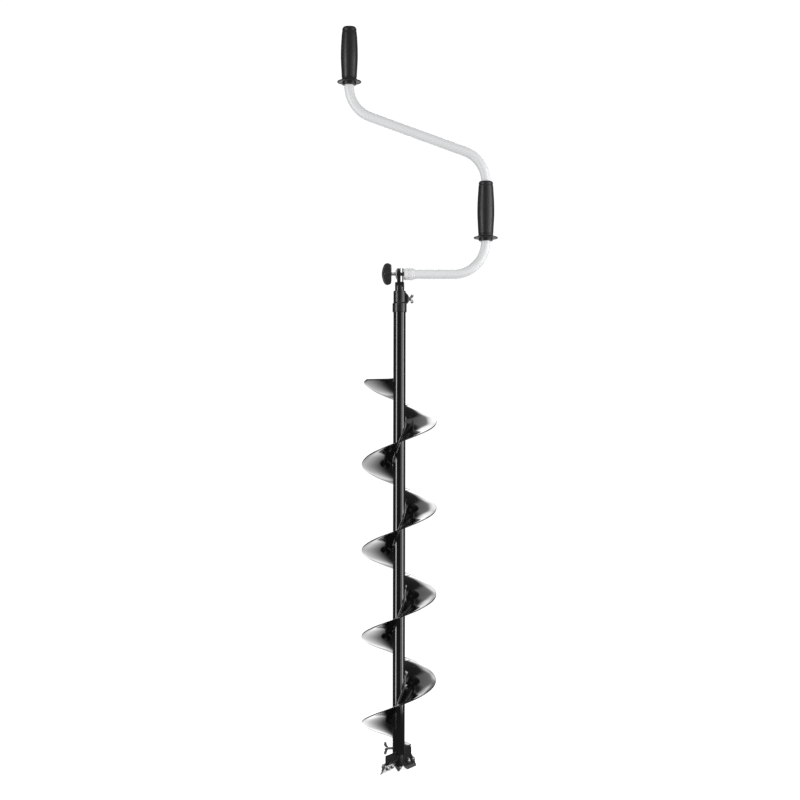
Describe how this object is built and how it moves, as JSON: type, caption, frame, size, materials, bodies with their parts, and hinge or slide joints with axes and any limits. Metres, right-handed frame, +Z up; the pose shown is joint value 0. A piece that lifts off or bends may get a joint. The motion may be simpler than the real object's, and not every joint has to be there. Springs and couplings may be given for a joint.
{
  "type": "ice fishing auger",
  "caption": "Hand ice auger with a helical flight, two blades, a telescoping shaft and a folding two-handed crank handle.",
  "frame": {"origin": "the flat end of the pilot point, on the shaft's axis", "axes": "+Z up along the shaft, from the pilot point to the handle; +X to the side of the lower grip, along the folding hinge's axis; +Y completes a right-handed frame"},
  "size_m": [0.3139, 0.1458, 1.4507],
  "materials": {
    "black_paint": "gloss",
    "white_paint": "satin powder coat",
    "zinc": "zinc plated",
    "blade_steel": "ground and polished",
    "bare_steel": "turned",
    "grip_plastic": "satin moulded",
    "knob_plastic": "satin moulded",
    "nylon": "natural",
    "brass": "turned"
  },
  "bodies": {
    "auger": {"main_tube": "black_paint", "flight_turn_1": "black_paint", "flight_turn_2": "black_paint", "flight_turn_3": "black_paint", "flight_turn_4": "black_paint", "flight_turn_5": "black_paint", "guide_bush": "nylon", "clamp_collar": "black_paint", "collar_pressure_pad": "brass", "head_core": "black_paint", "pilot_point": "bare_steel", "blade_seat_a": "black_paint", "blade_seat_b": "black_paint", "blade_a": "blade_steel", "blade_b": "blade_steel", "blade_screw_a1": "zinc", "blade_screw_a2": "zinc", "blade_screw_b1": "zinc", "blade_screw_b2": "zinc", "blade_nut_a1": "zinc", "blade_nut_a2": "zinc", "blade_nut_b1": "zinc", "blade_nut_b2": "zinc"},
    "collar_screw": {"collar_wing_screw": "zinc"},
    "head_screw": {"head_wing_screw": "zinc"},
    "telescope": {"inner_tube": "black_paint", "inner_tube_stop": "nylon", "hinge_fork": "black_paint", "hinge_cup_washer": "zinc"},
    "hinge_screw": {"hinge_bolt": "zinc", "hinge_wing_knob": "knob_plastic"},
    "handle": {"handle_tube": "white_paint", "handle_ferrule": "white_paint", "hinge_lock_washer": "zinc", "handle_end_plug": "bare_steel", "grip_retaining_screw": "zinc"},
    "side_grip": {"lower_grip": "grip_plastic"},
    "top_grip": {"upper_grip": "grip_plastic", "upper_grip_cap": "grip_plastic"}
  },
  "joints": [
    {"name": "telescope_slide", "type": "slide", "parent": "auger", "child": "telescope", "axis": [0, 0, 1], "range_m": [0, 0.24]},
    {"name": "collar_screw_turn", "type": "hinge", "parent": "auger", "child": "collar_screw", "pos_m": [0, 0, 0.92], "axis": [1, 0, 0], "range_deg": [0, 360]},
    {"name": "head_screw_turn", "type": "hinge", "parent": "auger", "child": "head_screw", "pos_m": [0, 0, 0.045], "axis": [-1, 0, 0], "range_deg": [0, 360]},
    {"name": "handle_fold", "type": "hinge", "parent": "telescope", "child": "handle", "pos_m": [0, 0, 0.9684], "axis": [1, 0, 0], "range_deg": [-160, 160]},
    {"name": "hinge_screw_turn", "type": "hinge", "parent": "telescope", "child": "hinge_screw", "pos_m": [0, 0, 0.9684], "axis": [-1, 0, 0], "range_deg": [0, 360]},
    {"name": "side_grip_spin", "type": "hinge", "parent": "handle", "child": "side_grip", "pos_m": [0.1675, 0, 1.09], "axis": [0, 0, 1], "continuous": true},
    {"name": "top_grip_spin", "type": "hinge", "parent": "handle", "child": "top_grip", "pos_m": [-0.099, 0, 1.39], "axis": [0, 0, 1], "continuous": true}
  ]
}
